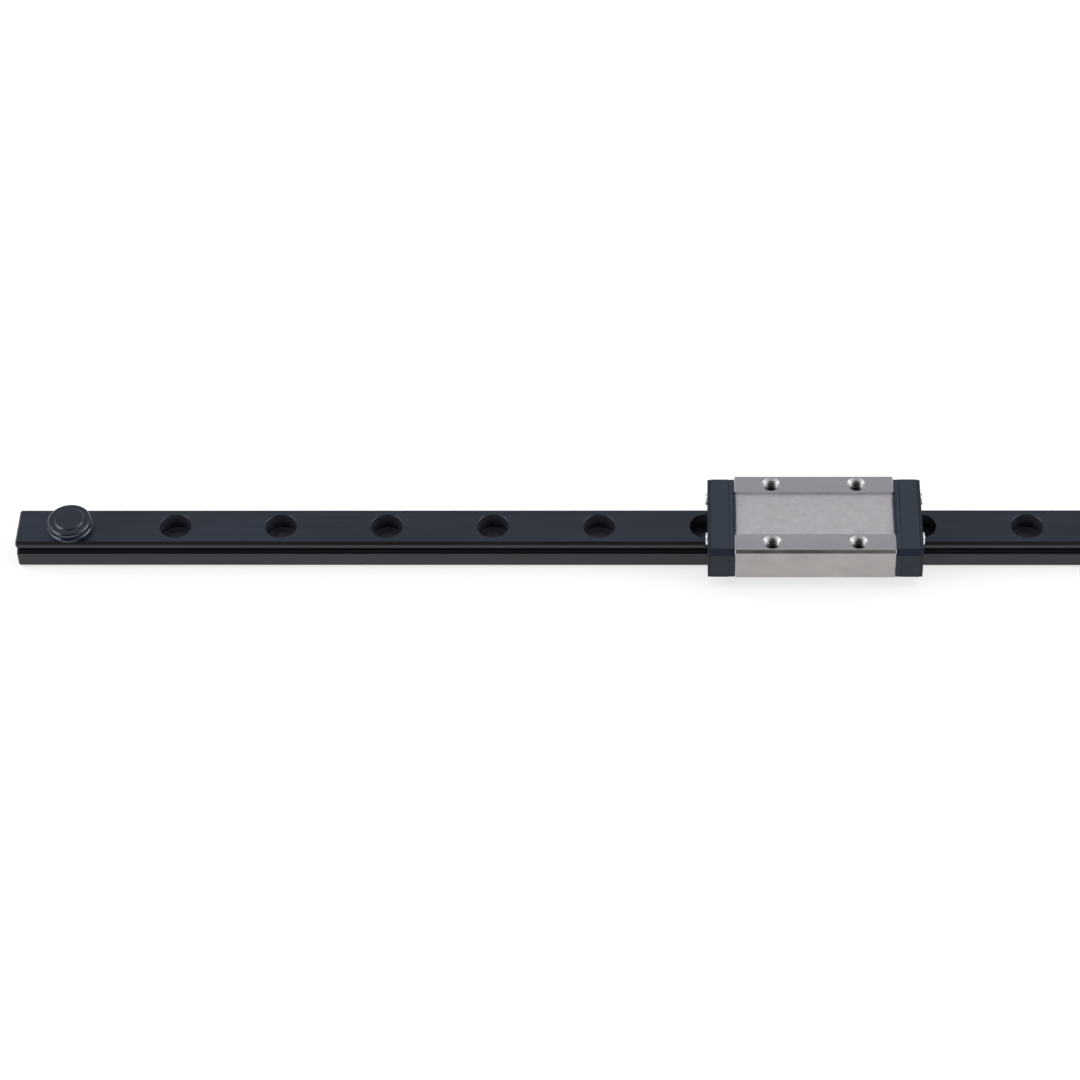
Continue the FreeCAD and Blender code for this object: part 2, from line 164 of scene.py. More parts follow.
class Skin:
    """Grids and flat faces gathered into one mesh. A mark is the number of the face's material."""

    def __init__(self):
        self.points = []
        self.faces = []
        self.marks = []
        self.size = 0

    def add(self, points, faces, marks):
        """Points, and faces as rows of their numbers, put after what is there already."""
        self.points.append(points.reshape(-1, 3))
        self.faces += (faces + self.size).tolist()
        self.marks += marks.tolist()
        self.size += points.size // 3

    def grid(self, rows, mark=0):
        """A quad between each point of a (rows, columns, 3) array and its three next ones. The
        mark is one number, or a number for each strip between two rows."""
        index = np.arange(rows.shape[0] * rows.shape[1]).reshape(rows.shape[:2])
        quads = [index[:-1, :-1], index[:-1, 1:], index[1:, 1:], index[1:, :-1]]
        marks = np.broadcast_to(np.reshape(mark, (-1, 1)), quads[0].shape)
        self.add(rows, np.stack(quads, axis=-1).reshape(-1, 4), marks.ravel())

    def face(self, loop, mark=0):
        """One flat face inside a loop of points."""
        self.add(loop, np.arange(len(loop))[None], np.array([mark]))

    def build(self, name, materials, body, slot, *nodes):
        """One object of all that was added: seams welded, faces turned outwards, sharp edges
        marked, and the shading of flat faces kept flat beside small rounds."""
        mesh = bpy.data.meshes.new(name)
        mesh.from_pydata(np.concatenate(self.points).tolist(), [], self.faces)
        mesh.polygons.foreach_set("material_index", self.marks)
        shell = bmesh.new()
        shell.from_mesh(mesh)
        bmesh.ops.remove_doubles(shell, verts=shell.verts, dist=WELD_DISTANCE)
        bmesh.ops.recalc_face_normals(shell, faces=shell.faces)
        shell.to_mesh(mesh)
        shell.free()
        mesh.polygons.foreach_set("use_smooth", [True] * len(mesh.polygons))
        mesh.set_sharp_from_angle(angle=math.radians(SHARP_ANGLE))
        for material in materials:
            mesh.materials.append(material)
        piece = bpy.data.objects.new(name, mesh)
        bpy.context.scene.collection.objects.link(piece)
        flats = piece.modifiers.new("flat_faces_stay_flat", "WEIGHTED_NORMAL")
        flats.keep_sharp = True
        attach(piece, body)
        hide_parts(*nodes)


def cell_angles(left, right, half):
    """The rays from a hole to the edge of its rectangular cell: one to each corner, and evenly
    spaced between two corners. The cell reaches left and right of the hole, and half each side."""
    corner = math.atan2(half, right)
    far_corner = math.pi - math.atan2(half, left)
    stops = [-corner, corner, far_corner, 2 * math.pi - far_corner, 2 * math.pi - corner]
    counts = [ACROSS, ALONG, ACROSS, ALONG]
    spans = [np.linspace(a, b, n, endpoint=False) for a, b, n in zip(stops, stops[1:], counts)]
    return np.concatenate(spans)


def cell_edge(angles, left, right, half):
    """Where each ray meets the cell's edge: the ray's unit vector, divided by the largest of its
    shares of the distances to the four sides."""
    x, y = np.cos(angles), np.sin(angles)
    share = np.maximum.reduce([x / right, -x / left, abs(y) / half])
    return np.stack([x / share, y / share], axis=1)


def cell_stations(centre, left, right, half):
    """The X places of the points along the cell's long edge, from its left end to its right end."""
    edge = cell_edge(cell_angles(left, right, half), left, right, half)
    return centre + edge[ACROSS:ACROSS + ALONG + 1, 0][::-1]


def cell_side(right, half):
    """The Y places of the points along a cell's short edge, from its front to its back."""
    corner = math.atan2(half, right)
    return right * np.tan(np.linspace(-corner, corner, ACROSS + 1))


def circles(angles, radii, heights):
    """A row of points round the hole for each radius and height. A radius may differ by angle."""
    radii = np.broadcast_to(radii, (len(angles), len(heights))).T
    return np.stack([radii * np.cos(angles), radii * np.sin(angles),
                     np.broadcast_to(heights[:, None], radii.shape)], axis=-1)


def flat_row(edge, height):
    """One row of a grid from (x, y) points, all at one height."""
    return np.column_stack([edge, np.full(len(edge), height)])[None]


def arch(y_centre, z_shift, z_from, z_to, facing):
    """Part of one arc of a ball track, as (y, z) points: equal angles round a centre that lies
    z_shift above the track's height. facing is 1 where the surface is beyond it, and else -1."""
    reach = (np.array([z_from, z_to]) - z_shift) / TRACK_RADIUS
    angles = np.linspace(*np.arcsin(reach), ARC_STEPS + 1)
    return np.column_stack([y_centre + facing * TRACK_RADIUS * np.cos(angles),
                            TRACK_HEIGHT + z_shift + TRACK_RADIUS * np.sin(angles)])


def mouth(wall_to_ball):
    """Half the height of a track's mouth in a wall that stands this far from the balls' centres."""
    return math.sqrt(TRACK_RADIUS ** 2 - (wall_to_ball + TRACK_SHIFT) ** 2) - TRACK_SHIFT


def joined(*lines):
    """Lines of points set end to end, with each point that repeats the one before it left out."""
    line = np.concatenate(lines)
    moved = np.linalg.norm(line - np.roll(line, 1, axis=0), axis=1) > SAME_POINT
    return line[moved]


def other_side(line):
    """The mirror image of (y, z) points across the part's middle, in the opposite order."""
    return (line * [-1, 1])[::-1]


def swept(section, stations):
    """A section's (y, z) points carried along X: a row for each point, at all its stations."""
    stations = np.broadcast_to(stations, (len(section), np.shape(stations)[-1]))
    across = np.broadcast_to(section[:, None], (*stations.shape, 2))
    return np.concatenate([stations[..., None], across], axis=-1)


def drawn_in(loop, amount):
    """A closed loop of (y, z) points moved inwards: each point goes along the sum of the normals of
    its two edges, as far as keeps both edges parallel to what they were."""
    ahead = np.roll(loop, -1, axis=0)
    step = ahead - loop
    step /= np.linalg.norm(step, axis=1, keepdims=True)
    normal = np.column_stack([-step[:, 1], step[:, 0]])
    before = np.roll(normal, 1, axis=0)
    turn = np.sign(np.sum(loop[:, 0] * ahead[:, 1] - loop[:, 1] * ahead[:, 0]))
    reach = amount * turn / (1 + np.sum(normal * before, axis=1))
    return loop + (normal + before) * reach[:, None]


def rounded(corners, radii):
    """A closed outline with each corner replaced by a parabola that starts and ends at tangents
    of its radius: (1-t)^2 A + 2t(1-t) P + t^2 B, for the corner P and points A and B beside it."""
    corners = np.array(corners, float)
    radii = np.broadcast_to(radii, len(corners))[:, None]
    back = np.roll(corners, 1, axis=0) - corners
    ahead = np.roll(corners, -1, axis=0) - corners
    back /= np.linalg.norm(back, axis=1, keepdims=True)
    ahead /= np.linalg.norm(ahead, axis=1, keepdims=True)
    half_angle = np.arccos(np.clip(np.sum(back * ahead, axis=1), -1, 1))[:, None] / 2
    reach = radii / np.tan(half_angle)
    start, end = corners + back * reach, corners + ahead * reach
    t = np.linspace(0, 1, ROUND_STEPS + 1)[None, :, None]
    curve = ((1 - t) ** 2 * start[:, None] + 2 * t * (1 - t) * corners[:, None]
             + t ** 2 * end[:, None])
    return joined(curve.reshape(-1, 2))


def slab(skin, outline, x_start, x_end, start_round, end_round):
    """A plate of this outline between two places along X, each rim rounded by a quarter circle:
    r (1 - cos a) from the face it is drawn in by r (1 - sin a), for a from 0 to 90 degrees."""
    quarter = np.linspace(0, math.pi / 2, ROUND_STEPS + 1)
    inset, depth = 1 - np.sin(quarter), (1 - np.cos(quarter)) * np.sign(x_end - x_start)
    places = np.concatenate([x_start + start_round * depth, (x_end - end_round * depth)[::-1]])
    insets = np.concatenate([start_round * inset, end_round * inset[::-1]])
    rows = np.stack([np.column_stack([np.full(len(outline), x), drawn_in(outline, amount)])
                     for x, amount in zip(places, insets)])
    skin.grid(ring(rows))
    skin.face(rows[0])
    skin.face(rows[-1])


def broken_end(skin, loop, x_edge, x_end, amount, mark=0):
    """The chamfer round a bar's end, from a loop of (y, z) points at x_edge to the same loop
    drawn in at x_end, and the flat end face inside it."""
    rows = np.stack([np.column_stack([np.full(len(loop), x), line])
                     for x, line in ((x_edge, loop), (x_end, drawn_in(loop, amount)))])
    skin.grid(ring(rows), mark)
    skin.face(rows[1], mark)


def turned(radii, heights, count):
    """A profile turned round the Z axis: one row of points for each radius and height."""
    angles = np.linspace(0, 2 * math.pi, count, endpoint=False)
    return ring(circles(angles, radii[None], heights))


# Materials

class Finish:
    """A Principled material whose colour, gloss and relief follow noise on Object coordinates."""

    def __init__(self, name, color, roughness, metallic=0.0, **sockets):
        self.material = bpy.data.materials.new(name)
        self.material.use_nodes = True
        self.nodes = self.material.node_tree.nodes
        self.links = self.material.node_tree.links
        self.shader = self.nodes["Principled BSDF"]
        self.place = self.nodes.new("ShaderNodeTexCoord").outputs["Object"]
        fixed = {"Base Color": (*color, 1), "Roughness": roughness, "Metallic": metallic, **sockets}
        for socket, value in fixed.items():
            self.shader.inputs[socket].default_value = value

    def noise(self, per_mm, detail=3.0, roughness=0.55):
        """Noise with this many waves to the millimetre along X, Y and Z."""
        mapping = self.nodes.new("ShaderNodeMapping")
        mapping.inputs["Scale"].default_value = [waves / MM for waves in per_mm]
        noise = self.nodes.new("ShaderNodeTexNoise")
        noise.inputs["Scale"].default_value = 1.0
        noise.inputs["Detail"].default_value = detail
        noise.inputs["Roughness"].default_value = roughness
        self.links.new(self.place, mapping.inputs["Vector"])
        self.links.new(mapping.outputs["Vector"], noise.inputs["Vector"])
        return noise.outputs["Fac"]

    def between(self, factor, low, high):
        """A number that goes from low to high as the noise goes through its usual range."""
        node = self.nodes.new("ShaderNodeMapRange")
        node.inputs["From Min"].default_value = NOISE_LOW
        node.inputs["From Max"].default_value = NOISE_HIGH
        node.inputs["To Min"].default_value = low
        node.inputs["To Max"].default_value = high
        self.links.new(factor, node.inputs["Value"])
        return node.outputs["Result"]

    def tint(self, factor, dark, light):
        """Base colour from dark to light as the noise rises."""
        mix = self.nodes.new("ShaderNodeMix")
        mix.data_type = "RGBA"
        mix.inputs["A"].default_value = (*dark, 1)
        mix.inputs["B"].default_value = (*light, 1)
        self.links.new(self.between(factor, 0.0, 1.0), mix.inputs["Factor"])
        self.links.new(mix.outputs["Result"], self.shader.inputs["Base Color"])
        return self

    def overlay(self, mask, color):
        """Another colour over the present one, as far as the mask goes from 0 to 1."""
        mix = self.nodes.new("ShaderNodeMix")
        mix.data_type = "RGBA"
        self.links.new(self.shader.inputs["Base Color"].links[0].from_socket, mix.inputs["A"])
        mix.inputs["B"].default_value = (*color, 1)
        self.links.new(mask, mix.inputs["Factor"])
        self.links.new(mix.outputs["Result"], self.shader.inputs["Base Color"])
        return self

    def ramp(self, vector, start, end, axis="Z"):
        """From 0 to 1 as one of a vector's coordinates goes from start to end."""
        parts = self.nodes.new("ShaderNodeSeparateXYZ")
        node = self.nodes.new("ShaderNodeMapRange")
        node.interpolation_type = "SMOOTHSTEP"
        node.inputs["From Min"].default_value = start
        node.inputs["From Max"].default_value = end
        self.links.new(vector, parts.inputs["Vector"])
        self.links.new(parts.outputs[axis], node.inputs["Value"])
        return node.outputs["Result"]

    def product(self, first, second):
        """Where two masks overlap."""
        node = self.nodes.new("ShaderNodeMath")
        node.operation = "MULTIPLY"
        self.links.new(first, node.inputs[0])
        self.links.new(second, node.inputs[1])
        return node.outputs[0]

    def facing(self):
        """The surface normal without its signs."""
        node = self.nodes.new("ShaderNodeVectorMath")
        node.operation = "ABSOLUTE"
        self.links.new(self.nodes.new("ShaderNodeNewGeometry").outputs["Normal"], node.inputs[0])
        return node.outputs["Vector"]

    def blend_factor(self, first, second, share):
        """Two noises added, with this share of the second."""
        mix = self.nodes.new("ShaderNodeMix")
        mix.inputs["Factor"].default_value = share
        self.links.new(first, mix.inputs["A"])
        self.links.new(second, mix.inputs["B"])
        return mix.outputs["Result"]

    def gloss(self, factor, low, high):
        """Roughness from low to high as the noise rises."""
        self.links.new(self.between(factor, low, high), self.shader.inputs["Roughness"])
        return self

    def relief(self, factor, depth):
        """A bump of this depth in metres."""
        bump = self.nodes.new("ShaderNodeBump")
        bump.inputs["Distance"].default_value = depth
        self.links.new(factor, bump.inputs["Height"])
        if self.shader.inputs["Normal"].is_linked:
            self.links.new(self.shader.inputs["Normal"].links[0].from_socket, bump.inputs["Normal"])
        self.links.new(bump.outputs["Normal"], self.shader.inputs["Normal"])
        return self


def black_oxide():
    """Ground steel, blacked: fine grinding lines along the rail, and slow bluish clouds."""
    finish = Finish("black_oxide_steel", (0.063, 0.073, 0.099), 0.34, 1.0)
    lines = finish.noise((0.03, 5.0, 5.0))
    clouds = finish.noise((0.05, 0.2, 0.2), detail=2.0)
    finish.tint(finish.blend_factor(lines, clouds, 0.6),
                (0.056, 0.063, 0.083), (0.071, 0.084, 0.115))
    return finish.gloss(lines, 0.28, 0.42).relief(lines, 0.002 * MM).material


def black_oxide_side():
    """The same blacking on the rail's sides as a darker copy in a neutral tone, which is painted
    shade, with slow brownish clouds.
    """
    finish = Finish("black_oxide_side_painted_shade", (0.049, 0.049, 0.056), 0.36, 1.0)
    lines = finish.noise((0.03, 5.0, 5.0))
    clouds = finish.noise((0.05, 0.2, 0.2), detail=2.0)
    finish.tint(finish.blend_factor(lines, clouds, 0.6),
                (0.046, 0.044, 0.047), (0.053, 0.055, 0.065))
    return finish.gloss(lines, 0.30, 0.44).relief(lines, 0.002 * MM).material


def track_steel():
    """The ball tracks: a near-black copy of the blacking, painted shade in the deep grooves, so
    little light comes back.
    """
    finish = Finish("black_oxide_track_painted_shade", (0.020, 0.021, 0.026), 0.4, 1.0)
    lines = finish.noise((0.03, 6.0, 6.0))
    finish.tint(lines, (0.017, 0.018, 0.022), (0.024, 0.025, 0.031))
    return finish.gloss(lines, 0.34, 0.46).material


def ground_steel():
    """A land ground along the rail: fine straight lines."""
    finish = Finish("ground_steel_land", (0.565, 0.55, 0.59), 0.3, 1.0)
    lines = finish.noise((0.05, 9.0, 9.0))
    clouds = finish.noise((0.1, 0.4, 0.4), detail=2.0)
    finish.tint(finish.blend_factor(lines, clouds, 0.5),
                (0.535, 0.52, 0.56), (0.595, 0.58, 0.62))
    return finish.gloss(lines, 0.27, 0.35).relief(lines, 0.001 * MM).material


def milled_steel():
    """The recessed channel: a fine even grain with faint blotches."""
    finish = Finish("milled_steel_channel", (0.64, 0.622, 0.646), 0.6, 1.0)
    grain = finish.noise((4.5, 4.5, 4.5), detail=4.0)
    blotches = finish.noise((0.6, 0.6, 0.6), detail=3.0)
    finish.tint(finish.blend_factor(grain, blotches, 0.35),
                (0.543, 0.528, 0.548), (0.737, 0.717, 0.743))
    return finish.gloss(grain, 0.50, 0.68).relief(grain, 0.010 * MM).material


def side_steel():
    """The block's outer sides: a coarser warm-toned grain with soft blotches."""
    finish = Finish("steel_side", (0.379, 0.356, 0.349), 0.38, 1.0)
    grain = finish.noise((2.5, 4.0, 4.0), detail=4.0)
    blotches = finish.noise((0.18, 0.25, 0.25), detail=3.0)
    finish.tint(finish.blend_factor(grain, blotches, 0.65),
                (0.327, 0.305, 0.299), (0.431, 0.407, 0.399))
    return finish.gloss(blotches, 0.32, 0.44).relief(grain, 0.004 * MM).material


def bore_steel():
    """The holes' walls and floors: a darker, duller copy of the blacking, painted shade down in the
    holes, with a soft even haze.
    """
    finish = Finish("black_oxide_bore_painted_shade", (0.041, 0.047, 0.064), 0.5, 0.25,
                    **{"Specular IOR Level": 0.3})
    stains = finish.noise((0.8, 0.8, 0.8), detail=2.0)
    finish.tint(stains, (0.036, 0.041, 0.056), (0.047, 0.053, 0.072))
    return finish.gloss(stains, 0.44, 0.56).material


def cut_thread():
    """The taps: bright from the cutter at the mouth and on the flanks, and darkened further down by
    painted shade, on the walls across the rail first and then all round."""
    finish = Finish("cut_thread_steel_painted_shade", (0.55, 0.54, 0.56), 0.34, 1.0)
    marks = finish.noise((4.0, 4.0, 9.0))
    finish.tint(marks, (0.50, 0.49, 0.51), (0.60, 0.59, 0.61))
    # Painted shade: walls across the rail darken from 0.7 to 1.3 mm down, and all walls from 1.6 to
    # 2.8 mm down
    painted_shade_depth = finish.ramp(finish.place, BLOCK_HIGH.z - 0.7 * MM, BLOCK_HIGH.z - 1.3 * MM)
    across = finish.ramp(finish.facing(), 0.4, 0.75, "Y")
    finish.overlay(finish.product(painted_shade_depth, across), (0.030, 0.029, 0.028))
    finish.overlay(finish.ramp(finish.place, BLOCK_HIGH.z - 1.6 * MM, BLOCK_HIGH.z - 2.8 * MM),
                   (0.045, 0.043, 0.042))
    return finish.gloss(marks, 0.28, 0.42).material


def moulded_plastic():
    """Black glass-filled plastic: a fine eroded grain, and a lighter colour on faces that look up,
    which is painted light.
    """
    finish = Finish("moulded_black_plastic_painted_light", (0.013, 0.020, 0.036), 0.45,
                    **{"Specular IOR Level": 0.3})
    grain = finish.noise((9.0, 9.0, 9.0), detail=2.0)
    clouds = finish.noise((0.3, 0.3, 0.3), detail=2.0)
    finish.tint(clouds, (0.011, 0.017, 0.032), (0.015, 0.023, 0.040))
    upward_for_painted_light = finish.nodes.new("ShaderNodeNewGeometry").outputs["Normal"]
    # Painted light: faces that look up are lightened
    finish.overlay(finish.ramp(upward_for_painted_light, 0.8, 0.97), (0.029, 0.040, 0.060))
    return finish.gloss(grain, 0.40, 0.52).relief(grain, 0.004 * MM).material


def seal_rubber():
    """Matt rubber, close in tone to the caps."""
    finish = Finish("seal_rubber", (0.016, 0.021, 0.033), 0.6, **{"Specular IOR Level": 0.3})
    grain = finish.noise((12.0, 12.0, 12.0), detail=2.0)
    finish.tint(grain, (0.014, 0.018, 0.029), (0.019, 0.024, 0.037))
    return finish.relief(grain, 0.004 * MM).material


def stopper_rubber():
    """Moulded rubber with a slight sheen, as from a polished mould."""
    finish = Finish("stopper_rubber", (0.003, 0.005, 0.017), 0.28,
                    **{"Specular IOR Level": 0.85, "Specular Tint": (0.84, 0.91, 1.0, 1)})
    grain = finish.noise((6.0, 6.0, 6.0), detail=3.0)
    clouds = finish.noise((0.4, 0.4, 0.4), detail=2.0)
    finish.tint(clouds, (0.002, 0.003, 0.014), (0.005, 0.007, 0.021))
    return finish.gloss(grain, 0.22, 0.34).relief(grain, 0.003 * MM).material


def plated_screw():
    """Bright zinc plate: pale, with a satin sheen."""
    finish = Finish("plated_screw_steel", (0.83, 0.84, 0.86), 0.38, 1.0)
    wear = finish.noise((3.0, 3.0, 3.0))
    finish.tint(wear, (0.78, 0.79, 0.81), (0.88, 0.89, 0.91))
    return finish.gloss(wear, 0.32, 0.44).material


def bearing_steel():
    """Lapped balls: close to a mirror, with the faintest haze."""
    finish = Finish("bearing_ball_steel", (0.78, 0.78, 0.80), 0.08, 1.0)
    haze = finish.noise((2.0, 2.0, 2.0))
    finish.tint(haze, (0.74, 0.74, 0.76), (0.82, 0.82, 0.84))
    return finish.gloss(haze, 0.05, 0.12).material


# Pieces

def rail_side():
    """One side of the rail's section, from its top chamfer round the track to its underside."""
    y, top = RAIL_HIGH.y, RAIL_HIGH.z
    gap = mouth(LOAD_Y - y)
    centre = LOAD_Y + TRACK_SHIFT
    floor = y - RELIEF_DEPTH
    return joined(
        [(y - RAIL_TOP_CHAMFER, top), (y, top - RAIL_TOP_CHAMFER)],
        arch(centre, -TRACK_SHIFT, gap, RELIEF_HALF, -1),
        [(floor, TRACK_HEIGHT + RELIEF_HALF), (floor, TRACK_HEIGHT - RELIEF_HALF)],
        arch(centre, TRACK_SHIFT, -RELIEF_HALF, -gap, -1),
        [(y, RAIL_FOOT_CHAMFER), (y - RAIL_FOOT_CHAMFER, 0)],
    )


def make_rail(*finishes):
    """Fifteen cells, each a grid of rings from the top face down through the counterbore and the
    bore to the underside, joined by the two sides and closed by a chamfered face at each end. A
    quarter circle rounds the counterbore's wall into its floor. The finishes are in the order of
    TOP, SIDE, TRACK and BORE."""
    skin = Skin()
    top = RAIL_HIGH.z
    top_half = RAIL_HIGH.y - RAIL_TOP_CHAMFER
    foot_half = RAIL_HIGH.y - RAIL_FOOT_CHAMFER
    reach = HOLE_PITCH / 2
    end_reach = reach - RAIL_END_BREAK
    count = round((RAIL_HIGH.x - RAIL_LOW.x) / HOLE_PITCH)
    floor = top - COUNTERBORE_DEPTH
    quarter = np.linspace(0, math.pi / 2, ROUND_STEPS + 1)
    bore_edge = BORE_RADIUS + HOLE_EDGE
    radii = np.concatenate([
        [COUNTERBORE_RADIUS + HOLE_EDGE, COUNTERBORE_RADIUS],
        COUNTERBORE_RADIUS - COUNTERBORE_FILLET * (1 - np.cos(quarter)),
        [bore_edge, BORE_RADIUS, BORE_RADIUS, bore_edge],
    ])
    heights = np.concatenate([
        [top, top - HOLE_EDGE],
        floor + COUNTERBORE_FILLET * (1 - np.sin(quarter)),
        [floor, floor - HOLE_EDGE, HOLE_EDGE, 0],
    ])
    # Below the rim chamfer the hole takes the BORE finish, painted shade in the hole
    hole_marks = [TOP] * 2 + [BORE] * (len(heights) - 2) + [SIDE]
    stations = [[], []]
    for number in range(count):
        centre = (number - (count - 1) / 2) * HOLE_PITCH
        left = end_reach if number == 0 else reach
        right = end_reach if number == count - 1 else reach
        angles = cell_angles(left, right, top_half)
        foot_angles = cell_angles(left, right, foot_half)
        rows = np.concatenate([
            flat_row(cell_edge(angles, left, right, top_half), top),
            circles(angles, radii[None], heights),
            flat_row(cell_edge(foot_angles, left, right, foot_half), 0),
        ])
        skin.grid(ring(rows + [centre, 0, 0]), hole_marks)
        for line, half in zip(stations, (top_half, foot_half)):
            line += cell_stations(centre, left, right, half)[1 if number else 0:].tolist()
    side = rail_side()
    share = np.linspace(0, 1, len(side))[:, None]
    places = np.array(stations[0]) * (1 - share) + np.array(stations[1]) * share
    middles = (side[1:, 1] + side[:-1, 1]) / 2
    # The sides take the SIDE finish and the tracks the TRACK finish, both darker copies of the
    # blacking: painted shade
    marks = np.where(abs(middles - TRACK_HEIGHT) < TRACK_RADIUS, TRACK, SIDE)
    skin.grid(swept(side, places), marks)
    skin.grid(swept(side * [-1, 1], places), marks)
    loop = joined(
        side,
        np.column_stack([cell_side(end_reach, foot_half)[::-1], np.zeros(ACROSS + 1)]),
        other_side(side),
        np.column_stack([cell_side(end_reach, top_half), np.full(ACROSS + 1, top)]),
    )
    for _, end in ENDS:
        x_end = RAIL_HIGH.x * end
        broken_end(skin, loop, x_end - RAIL_END_BREAK * end, x_end, RAIL_END_BREAK, SIDE)
    skin.build("guide_rail", finishes, "rail_body", "rail_black_steel", "rail")


def block_outside():
    """The block's section from the outer edge of one land, down its side and up round the track."""
    y, top, bottom = BLOCK_HIGH.y, BLOCK_HIGH.z, BLOCK_LOW.z
    gap = mouth(CAVITY_Y - LOAD_Y)
    centre = LOAD_Y - TRACK_SHIFT
    return joined(
        [(y - BLOCK_TOP_CHAMFER, top), (y, top - BLOCK_TOP_CHAMFER),
         (y, bottom + BLOCK_FOOT_CHAMFER), (y - BLOCK_FOOT_CHAMFER, bottom), (CAVITY_Y, bottom)],
        arch(centre, TRACK_SHIFT, -gap, 0, 1),
        arch(centre, -TRACK_SHIFT, 0, gap, 1),
        [(CAVITY_Y, CAVITY_TOP - CAVITY_CHAMFER), (CAVITY_Y - CAVITY_CHAMFER, CAVITY_TOP)],
    )


def thread(angles, depths):
    """The radius of a tapped hole by angle and depth. Once a pitch the thread falls and rises in
    straight flanks between its two flats, and it moves on by a pitch with each turn. The
    countersink's cone widens its mouth."""
    turns = depths[None] / THREAD_PITCH + angles[:, None] / (2 * math.pi) + THREAD_START
    flanks = 1 - THREAD_INNER_FLAT - THREAD_OUTER_FLAT
    flank = np.clip((abs(2 * (turns % 1) - 1) - THREAD_INNER_FLAT) / flanks, 0, 1)
    ridge = THREAD_INNER + (THREAD_OUTER - THREAD_INNER) * flank
    return np.maximum(ridge, SINK_RADIUS - SINK_SLOPE * depths[None])


def make_block(*finishes):
    """Two lands, each of two cells with a tapped hole, joined by the channel and by the outside.
    The finishes are in the order of LAND, which is on the ends too, CHANNEL, OUTSIDE and TAP."""
    skin = Skin()
    top = BLOCK_HIGH.z
    centre_x = (BLOCK_LOW.x + BLOCK_HIGH.x) / 2
    end_reach = BLOCK_HIGH.x - BLOCK_END_BREAK - centre_x - TAP_SPACING / 2
    land_half = (LAND_WIDTH - BLOCK_TOP_CHAMFER) / 2
    land_y = BLOCK_HIGH.y - TAP_EDGE
    depths = np.arange(0, TAP_DEPTH, THREAD_PITCH / THREAD_STEPS)
    stations = []
    for number in (-1, 1):
        x = centre_x + TAP_SPACING / 2 * number
        left, right = (end_reach, TAP_SPACING / 2)[::-number]
        angles = cell_angles(left, right, land_half)
        rows = np.concatenate([flat_row(cell_edge(angles, left, right, land_half), top),
                               circles(angles, thread(angles, depths), top - depths)])
        for side in (-1, 1):
            place = [x, land_y * side, 0]
            skin.grid(ring(rows[:2] + place), LAND)
            # The TAP finish paints shade deep in the taps
            skin.grid(ring(rows[1:] + place), TAP)
            skin.face(rows[-1] + place, TAP)
        stations += cell_stations(x, left, right, land_half)[1 if number == 1 else 0:].tolist()
    stations = np.array(stations)
    outside = block_outside()
    channel = np.array([(CHANNEL_Y, top), (CHANNEL_Y, CHANNEL_FLOOR),
                        (-CHANNEL_Y, CHANNEL_FLOOR), (-CHANNEL_Y, top)])
    section = joined(outside, other_side(outside))
    skin.grid(swept(section, stations), OUTSIDE)
    skin.grid(swept(channel, stations), CHANNEL)
    land = np.column_stack([land_y + cell_side(end_reach, land_half), np.full(ACROSS + 1, top)])
    loop = joined(land, section, other_side(land), channel[::-1])
    for x_end, end in ((BLOCK_LOW.x, -1), (BLOCK_HIGH.x, 1)):
        broken_end(skin, loop, x_end - BLOCK_END_BREAK * end, x_end, BLOCK_END_BREAK, LAND)
    skin.build("carriage_steel", finishes, "carriage", "block_ground_steel", "carriage_block")


def seal_nib():
    """The corners of the seal's nib in the rail's track. Its sides slope at 45 degrees."""
    wide = mouth(LOAD_Y - RAIL_HIGH.y) - SEAL_GAP
    narrow = wide - SEAL_NIB - SEAL_GAP
    base, tip = RAIL_HIGH.y + SEAL_GAP, RAIL_HIGH.y - SEAL_NIB
    return [(base, TRACK_HEIGHT - wide), (tip, TRACK_HEIGHT - narrow),
            (tip, TRACK_HEIGHT + narrow), (base, TRACK_HEIGHT + wide)]


def end_outline(node, gap, step, nib=()):
    """The section of an end piece: chamfered shoulders and feet, and an arch over the rail, with a
    nib's corners in each of its walls where there is one."""
    low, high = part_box(node)
    side, top, bottom = high.y - step, high.z - step, low.z + step
    arch_y, arch_top = RAIL_HIGH.y + gap, RAIL_HIGH.z + gap
    half = [
        (side - CAP_SHOULDER, top),
        (side, top - CAP_SHOULDER),
        (side, bottom + CAP_FOOT),
        (side - CAP_FOOT, bottom),
        (arch_y, bottom),
        *nib,
        (arch_y, arch_top - RAIL_TOP_CHAMFER),
        (arch_y - RAIL_TOP_CHAMFER, arch_top),
    ]
    radii = [SHOULDER_ROUND] * 4 + [ARCH_ROUND] + [NIB_ROUND] * len(nib) + [ARCH_ROUND] * 2
    return rounded(half + [(-y, z) for y, z in half[::-1]], radii + radii[::-1])


def make_lip(skin, x_plate, end, top):
    """The plate's lip in the block's channel. Seen from above its edge is level in the middle
    and falls back at both ends: reach = L cos^2 (90 t), where t goes from 0 to 1 over the last
    LIP_CORNER of its width."""
    half, bottom = CHANNEL_Y - LIP_PLAY, CHANNEL_FLOOR + LIP_PLAY
    fall = np.linspace(0, LIP_CORNER, ARC_STEPS + 1)
    y = np.concatenate([-(half - LIP_CORNER) - fall[::-1], half - LIP_CORNER + fall])
    t = np.clip((abs(y) - half + LIP_CORNER) / LIP_CORNER, 0, 1)
    front = x_plate - end * LIP_LENGTH * np.cos(t * math.pi / 2) ** 2
    back = np.full(len(y), x_plate + LIP_ROOT * end)
    corners = [(front, bottom), (front, top - LIP_BREAK), (front + LIP_BREAK * end * (t < 1), top),
               (back, top), (back, bottom)]
    rows = np.stack([np.column_stack([x, y, np.full(len(y), z)]) for x, z in corners + corners[:1]])
    skin.grid(rows)
    skin.face(rows[:-1, 0])
    skin.face(rows[:-1, -1])


